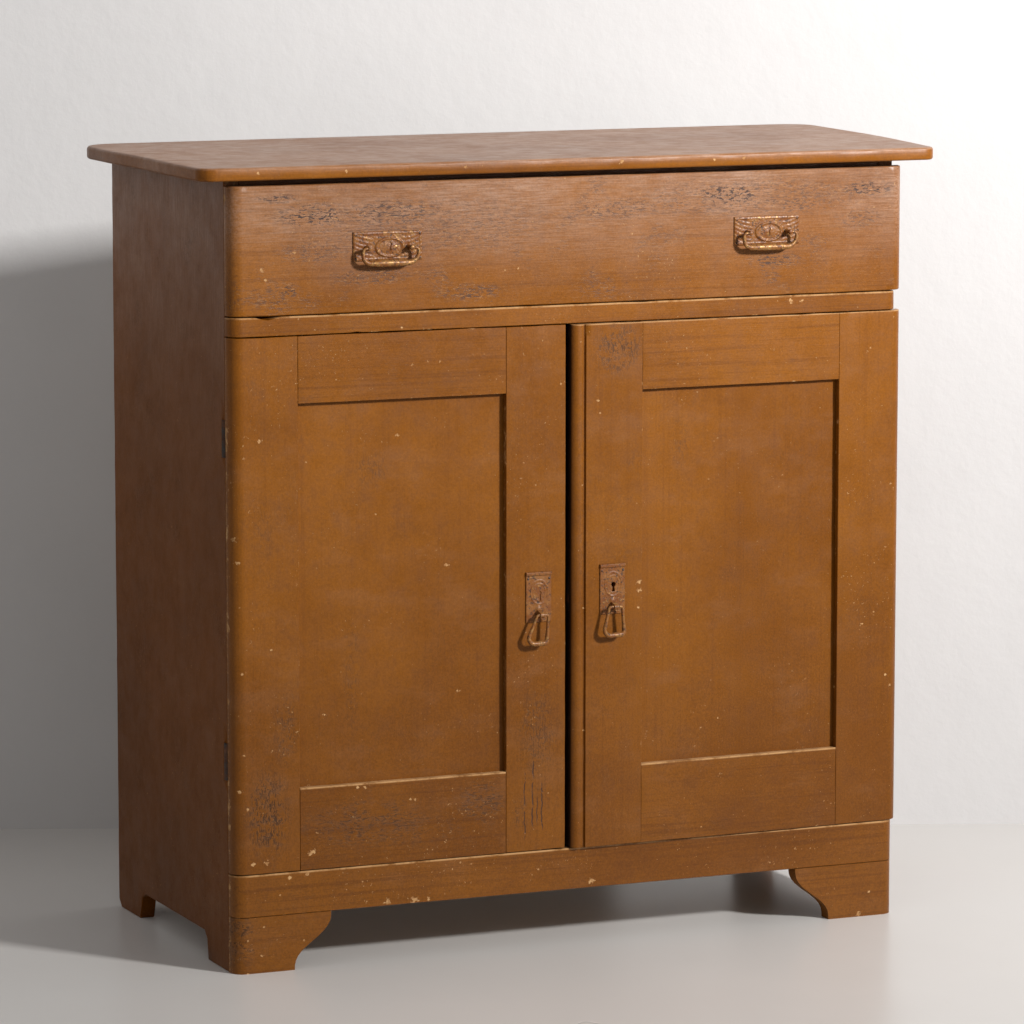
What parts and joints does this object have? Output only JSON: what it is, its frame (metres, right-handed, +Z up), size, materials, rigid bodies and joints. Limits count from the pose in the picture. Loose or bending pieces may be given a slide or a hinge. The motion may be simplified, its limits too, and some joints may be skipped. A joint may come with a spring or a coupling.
{
  "type": "sideboard cabinet",
  "caption": "Painted pine sideboard cabinet: a wide drawer with bail pulls over a pair of frame-and-panel doors, on a plinth with shaped bracket feet.",
  "frame": {"origin": "on the floor, under the middle of the whole object's box, with the right door standing slightly ajar", "axes": "+X to the right seen from the front, +Y to the back, +Z up; the front faces -Y"},
  "size_m": [1.1448, 0.5482, 1.0875],
  "materials": {
    "front_paint": "old ochre-brown paint over pine, satin, crazed and chipped along the edges",
    "side_paint": "old brown paint over pine, thin, with the grain showing",
    "top_paint": "old brown paint over pine, rubbed and dull, with a soft sheen",
    "bare_pine": "unpainted aged pine, matt",
    "iron": "dark wrought iron, lightly rusted",
    "painted_brass": "pressed brass painted over with the cabinet's paint, rubbed bright on the raised parts"
  },
  "bodies": {
    "carcass": {"top_board": "top_paint", "side_panel_left": "side_paint", "side_panel_right": "side_paint", "back_board_left": "bare_pine", "back_board_middle": "bare_pine", "back_board_right": "bare_pine", "cupboard_floor": "bare_pine", "shelf": "bare_pine", "shelf_cleat_left": "bare_pine", "shelf_cleat_right": "bare_pine", "middle_rail": "front_paint", "top_rail": "side_paint", "drawer_runner_left": "bare_pine", "drawer_runner_right": "bare_pine", "plinth_rail": "front_paint", "front_foot_left": "front_paint", "front_foot_right": "front_paint", "glue_block_left": "bare_pine", "glue_block_right": "bare_pine", "case_hinge_left_lower": "iron", "case_hinge_left_upper": "iron", "case_hinge_right_lower": "iron", "case_hinge_right_upper": "iron"},
    "drawer": {"drawer_front": "front_paint", "drawer_side_left": "bare_pine", "drawer_side_right": "bare_pine", "drawer_back": "bare_pine", "drawer_bottom": "bare_pine", "drawer_plate_left": "painted_brass", "drawer_plate_right": "painted_brass"},
    "bail_left": {"drawer_bail_left": "painted_brass"},
    "bail_right": {"drawer_bail_right": "painted_brass"},
    "door_left": {"left_door_hinge_stile": "front_paint", "left_door_meeting_stile": "front_paint", "left_door_top_rail": "front_paint", "left_door_bottom_rail": "front_paint", "left_door_panel": "front_paint", "door_hinge_left_lower": "iron", "door_hinge_left_upper": "iron", "left_door_plate": "painted_brass", "left_door_top_bolt_plate": "iron", "left_door_bottom_bolt_plate": "iron"},
    "door_right": {"right_door_hinge_stile": "front_paint", "right_door_lock_stile": "front_paint", "right_door_top_rail": "front_paint", "right_door_bottom_rail": "front_paint", "right_door_panel": "front_paint", "door_hinge_right_lower": "iron", "door_hinge_right_upper": "iron", "right_door_plate": "painted_brass", "lock_case": "iron"},
    "pull_left": {"left_door_pull": "painted_brass"},
    "pull_right": {"right_door_pull": "painted_brass"},
    "top_bolt": {"left_door_top_bolt": "iron"},
    "bottom_bolt": {"left_door_bottom_bolt": "iron"},
    "lock_bolt": {"lock_bolt": "iron"}
  },
  "joints": [
    {"name": "drawer_slide", "type": "slide", "parent": "carcass", "child": "drawer", "axis": [0, -1, 0], "range_m": [0, 0.3]},
    {"name": "bail_left_swing", "type": "hinge", "parent": "drawer", "child": "bail_left", "pos_m": [-0.3023, -0.2632, 0.9745], "axis": [-1, 0, 0], "range_deg": [0, 95]},
    {"name": "bail_right_swing", "type": "hinge", "parent": "drawer", "child": "bail_right", "pos_m": [0.2601, -0.2632, 0.9768], "axis": [-1, 0, 0], "range_deg": [0, 95]},
    {"name": "door_left_hinge", "type": "hinge", "parent": "carcass", "child": "door_left", "pos_m": [-0.5245, -0.2219, 0.5], "axis": [0, 0, -1], "range_deg": [0, 120]},
    {"name": "door_right_hinge", "type": "hinge", "parent": "carcass", "child": "door_right", "pos_m": [0.4675, -0.2219, 0.5], "axis": [0, 0, 1], "range_deg": [-0.95, 120]},
    {"name": "pull_left_swing", "type": "hinge", "parent": "door_left", "child": "pull_left", "pos_m": [-0.08205, -0.2627, 0.465], "axis": [-1, 0, 0], "range_deg": [0, 80]},
    {"name": "pull_right_swing", "type": "hinge", "parent": "door_right", "child": "pull_right", "pos_m": [0.02529, -0.27004, 0.471], "axis": [-0.9999, -0.0166, 0], "range_deg": [0, 80]},
    {"name": "top_bolt_slide", "type": "slide", "parent": "door_left", "child": "top_bolt", "axis": [0, 0, 1], "range_m": [0, 0.012]},
    {"name": "bottom_bolt_slide", "type": "slide", "parent": "door_left", "child": "bottom_bolt", "axis": [0, 0, -1], "range_m": [0, 0.012]},
    {"name": "lock_bolt_slide", "type": "slide", "parent": "door_right", "child": "lock_bolt", "axis": [-0.9999, -0.0166, 0], "range_m": [0, 0.012]}
  ]
}
